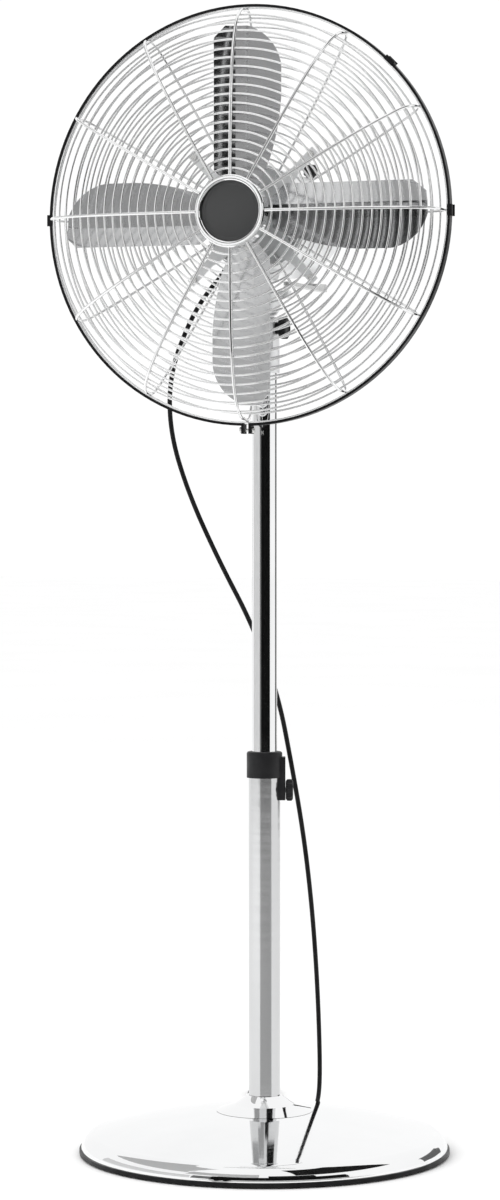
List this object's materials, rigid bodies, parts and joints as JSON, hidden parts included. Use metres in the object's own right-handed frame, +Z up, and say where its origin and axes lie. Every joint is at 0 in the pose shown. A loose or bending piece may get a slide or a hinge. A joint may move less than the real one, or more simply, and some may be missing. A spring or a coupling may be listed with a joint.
{
  "type": "pedestal fan",
  "caption": "Floor-standing electric fan with a wire guard, metal propeller, swinging and tilting motor head, telescopic chrome mast and domed round base.",
  "frame": {"origin": "on the floor, on the mast's axis, under the middle of the base", "axes": "+Z up along the mast; the fan blows towards -Y; +X is to the right seen from the front"},
  "size_m": [0.4488, 0.5872, 1.228],
  "materials": {
    "chrome": "polished chrome plate",
    "wire_chrome": "chrome-plated steel wire",
    "blade_metal": "satin polished aluminium",
    "motor_paint": "smooth silver paint",
    "band_paint": "satin black paint",
    "black_plastic": "fine-grained black moulding",
    "badge_plastic": "dark grey moulding",
    "grey_plastic": "natural grey acetal",
    "plated_steel": "zinc-plated steel",
    "lamination": "varnished electrical steel",
    "copper": "enamelled copper winding",
    "bronze": "sintered bronze",
    "iron": "raw cast iron",
    "rubber": "black rubber",
    "cord_jacket": "flexible black jacket",
    "nickel": "nickel-plated brass"
  },
  "bodies": {
    "stand": {"base_feet": "rubber", "base_pan": "plated_steel", "base_weight": "iron", "base_cover": "chrome", "base_edge_trim": "band_paint", "mast_socket": "plated_steel", "socket_fixings": "plated_steel", "base_flare": "chrome", "outer_tube": "chrome", "collar_bush": "grey_plastic", "height_collar": "black_plastic", "power_cord": "cord_jacket", "cord_hank": "cord_jacket", "hank_tie": "black_plastic", "plug_body": "black_plastic", "plug_pins": "nickel"},
    "height_clamp": {"height_knob": "black_plastic", "height_screw": "plated_steel"},
    "mast": {"inner_tube": "chrome", "inner_tube_glide": "grey_plastic", "mast_fork": "motor_paint", "tilt_bolt": "plated_steel"},
    "tilt_clamp": {"tilt_knob": "black_plastic"},
    "neck": {"neck": "motor_paint", "swivel_spindle": "plated_steel"},
    "head": {"motor_front_cover": "motor_paint", "shaft_bearings": "bronze", "motor_housing": "chrome", "gearbox_cover": "chrome", "motor_back_plate": "plated_steel", "stator": "lamination", "stator_coils": "copper", "swivel_boss": "motor_paint", "speed_switch": "grey_plastic", "strain_relief": "rubber", "front_guard_rings": "wire_chrome", "front_guard_side_rings": "wire_chrome", "rear_guard_rings": "wire_chrome", "front_guard_spokes": "wire_chrome", "rear_guard_spokes": "wire_chrome", "guard_band": "band_paint", "guard_clips": "band_paint", "guard_hub_ring": "chrome", "guard_badge": "badge_plastic", "guard_bracket": "motor_paint", "guard_screws": "nickel"},
    "rotor": {"motor_shaft": "plated_steel", "rotor_core": "lamination", "blade_1": "blade_metal", "blade_2": "blade_metal", "blade_3": "blade_metal", "blade_4": "blade_metal", "blade_spider": "plated_steel", "blade_rivets": "nickel", "blade_nut": "black_plastic"},
    "swing_drive": {"worm_wheel": "grey_plastic", "swing_crank": "plated_steel"},
    "drive_link": {"swing_link": "plated_steel"},
    "swing_pull": {"swing_knob": "black_plastic"},
    "speed_dial": {"speed_knob": "black_plastic"}
  },
  "joints": [
    {"name": "height", "type": "slide", "parent": "stand", "child": "mast", "axis": [0, 0, 1], "range_m": [-0.17, 0], "deforming": ["power_cord"]},
    {"name": "height_clamp_turn", "type": "hinge", "parent": "stand", "child": "height_clamp", "pos_m": [0, 0, 0.393], "axis": [0.9521, 0.3057, 0], "range_deg": [0, 360]},
    {"name": "tilt", "type": "hinge", "parent": "mast", "child": "neck", "pos_m": [0, 0, 0.89], "axis": [1, 0, 0], "range_deg": [-25, 10]},
    {"name": "tilt_clamp_turn", "type": "hinge", "parent": "mast", "child": "tilt_clamp", "pos_m": [0, 0, 0.89], "axis": [1, 0, 0], "range_deg": [0, 360]},
    {"name": "swing", "type": "hinge", "parent": "neck", "child": "head", "pos_m": [0, 0, 0.935], "axis": [0, 0, 1], "range_deg": [-38, 38]},
    {"name": "rotor_spin", "type": "hinge", "parent": "head", "child": "rotor", "pos_m": [0, 0, 1.006], "axis": [0, 1, 0], "continuous": true},
    {"name": "crank_turn", "type": "hinge", "parent": "head", "child": "swing_drive", "pos_m": [0.016, 0.118, 0.942], "axis": [0, 0, 1], "range_deg": [-90, 90]},
    {"name": "link_turn", "type": "hinge", "parent": "swing_drive", "child": "drive_link", "pos_m": [0.0305, 0.118, 0.938], "axis": [0, 0, 1], "range_deg": [-90, 90]},
    {"name": "swing_release", "type": "slide", "parent": "head", "child": "swing_pull", "axis": [0, 0, 1], "range_m": [0, 0.008]},
    {"name": "speed_turn", "type": "hinge", "parent": "head", "child": "speed_dial", "pos_m": [0, 0.155, 1.006], "axis": [0, 1, 0], "range_deg": [0, 135]}
  ],
  "couplings": [
    {"joint": "crank_turn", "follows": "swing", "ratio": -2.25},
    {"joint": "link_turn", "follows": "swing", "ratio": 2.25}
  ]
}
